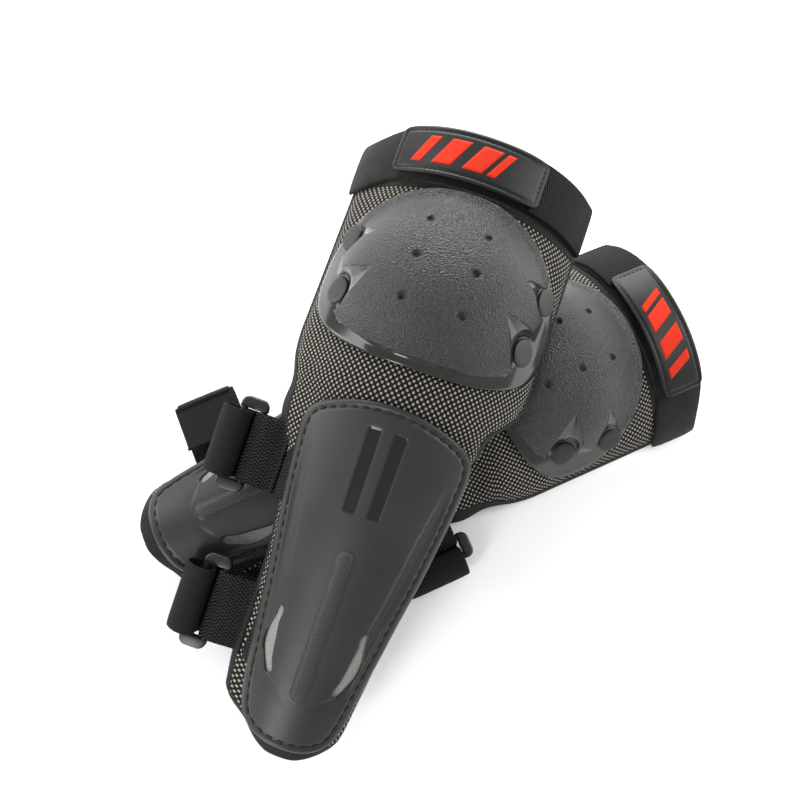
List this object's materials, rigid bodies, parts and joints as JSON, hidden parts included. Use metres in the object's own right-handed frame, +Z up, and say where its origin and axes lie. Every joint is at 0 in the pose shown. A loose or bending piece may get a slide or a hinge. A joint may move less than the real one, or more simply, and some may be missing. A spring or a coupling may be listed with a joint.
{
  "type": "pair of knee and shin guards",
  "caption": "Padded guards with a domed knee cup, a long moulded shin plate, a thigh band with a closing tab and ring-buckled calf straps, lying crossed as a left and right pair.",
  "frame": {"origin": "on the floor, under the middle of the pair's box", "axes": "+Z up; the front guard points mostly along -Y, the rear guard mostly along -X"},
  "size_m": [0.3941, 0.3886, 0.1664],
  "materials": {
    "cup_plastic": "grained satin dome with a glossy edge band",
    "rivet_plastic": "moulded, slightly glossy",
    "foam": "closed-cell foam",
    "mesh_fabric": "basket-weave mesh",
    "lining": "brushed lining",
    "binding": "woven tape",
    "pile_fabric": "soft loop pile",
    "ribbed_elastic": "ribbed elastic",
    "patch_fabric": "smooth coated patch with a stitched border",
    "hook_tape": "hook tape",
    "plate_plastic": "satin moulded plastic",
    "light_foam": "light grey foam sheet",
    "webbing": "coarse herringbone webbing",
    "ring_plastic": "moulded plastic",
    "strap_elastic": "fine twill elastic"
  },
  "bodies": {
    "rear_knee": {"rear_knee_cup": "cup_plastic", "rear_knee_rivets": "rivet_plastic", "rear_rivet_washers": "rivet_plastic", "rear_knee_core": "foam", "rear_knee_cover": "mesh_fabric", "rear_knee_foam": "foam", "rear_knee_lining": "lining", "rear_knee_binding": "binding", "rear_thigh_panel": "pile_fabric", "rear_thigh_elastic": "ribbed_elastic", "rear_waist_bridge": "mesh_fabric"},
    "rear_shin": {"rear_shin_plate": "plate_plastic", "rear_shin_backing": "light_foam", "rear_shin_cover": "mesh_fabric", "rear_shin_foam": "foam", "rear_shin_lining": "lining", "rear_shin_binding": "binding", "rear_upper_anchor": "webbing", "rear_upper_elastic": "strap_elastic", "rear_upper_pile": "pile_fabric", "rear_upper_hook": "hook_tape", "rear_lower_anchor": "webbing", "rear_lower_elastic": "strap_elastic", "rear_lower_pile": "pile_fabric", "rear_lower_hook": "hook_tape"},
    "rear_tab": {"rear_thigh_tab": "patch_fabric", "rear_tab_hook": "hook_tape"},
    "rear_upper_ring": {"rear_upper_ring": "ring_plastic"},
    "rear_lower_ring": {"rear_lower_ring": "ring_plastic"},
    "front_knee": {"front_knee_cup": "cup_plastic", "front_knee_rivets": "rivet_plastic", "front_rivet_washers": "rivet_plastic", "front_knee_core": "foam", "front_knee_cover": "mesh_fabric", "front_knee_foam": "foam", "front_knee_lining": "lining", "front_knee_binding": "binding", "front_thigh_panel": "pile_fabric", "front_thigh_elastic": "ribbed_elastic", "front_waist_bridge": "mesh_fabric"},
    "front_shin": {"front_shin_plate": "plate_plastic", "front_shin_backing": "light_foam", "front_shin_cover": "mesh_fabric", "front_shin_foam": "foam", "front_shin_lining": "lining", "front_shin_binding": "binding", "front_upper_anchor": "webbing", "front_upper_elastic": "strap_elastic", "front_upper_pile": "pile_fabric", "front_upper_hook": "hook_tape", "front_lower_anchor": "webbing", "front_lower_elastic": "strap_elastic", "front_lower_pile": "pile_fabric", "front_lower_hook": "hook_tape"},
    "front_tab": {"front_thigh_tab": "patch_fabric", "front_tab_hook": "hook_tape"},
    "front_upper_ring": {"front_upper_ring": "ring_plastic"},
    "front_lower_ring": {"front_lower_ring": "ring_plastic"}
  },
  "joints": [
    {"name": "rear_flex", "type": "hinge", "parent": "rear_knee", "child": "rear_shin", "pos_m": [0.01921, 0.03336, 0.04562], "axis": [0.4066, -0.9095, -0.0871], "range_deg": [0, 42], "deforming": ["rear_waist_bridge"]},
    {"name": "rear_tab_hinge", "type": "hinge", "parent": "rear_knee", "child": "rear_tab", "pos_m": [0.13825, 0.12723, 0.05794], "axis": [-0.9122, -0.4095, 0.0173], "range_deg": [0, 85]},
    {"name": "rear_upper_ring_hinge", "type": "hinge", "parent": "rear_shin", "child": "rear_upper_ring", "pos_m": [-0.00196, -0.06023, 0.01128], "axis": [-0.9134, -0.4067, -0.0175], "range_deg": [-10, 25]},
    {"name": "rear_lower_ring_hinge", "type": "hinge", "parent": "rear_shin", "child": "rear_lower_ring", "pos_m": [-0.09736, -0.0918, 0.01041], "axis": [-0.9134, -0.4067, -0.0175], "range_deg": [-10, 25]},
    {"name": "front_lift", "type": "slide", "parent": "rear_knee", "child": "front_knee", "axis": [0, 0, 1], "range_m": [0, 0.2]},
    {"name": "front_flex", "type": "hinge", "parent": "front_knee", "child": "front_shin", "pos_m": [-0.0186, 0.01276, 0.11208], "axis": [0.9452, -0.3198, -0.066], "range_deg": [0, 34], "deforming": ["front_waist_bridge"]},
    {"name": "front_tab_hinge", "type": "hinge", "parent": "front_knee", "child": "front_tab", "pos_m": [0.06541, 0.13546, 0.14402], "axis": [0.3264, 0.9321, 0.1568], "range_deg": [0, 85]},
    {"name": "front_upper_ring_hinge", "type": "hinge", "parent": "front_shin", "child": "front_upper_ring", "pos_m": [-0.11129, -0.00463, 0.07345], "axis": [0.3234, 0.8885, 0.3256], "range_deg": [-10, 25]},
    {"name": "front_lower_ring_hinge", "type": "hinge", "parent": "front_shin", "child": "front_lower_ring", "pos_m": [-0.13417, -0.09667, 0.04023], "axis": [0.3234, 0.8885, 0.3256], "range_deg": [-10, 25]}
  ],
  "couplings": [
    {"joint": "front_flex", "follows": "front_lift", "rad_per_m": 2.9641}
  ]
}
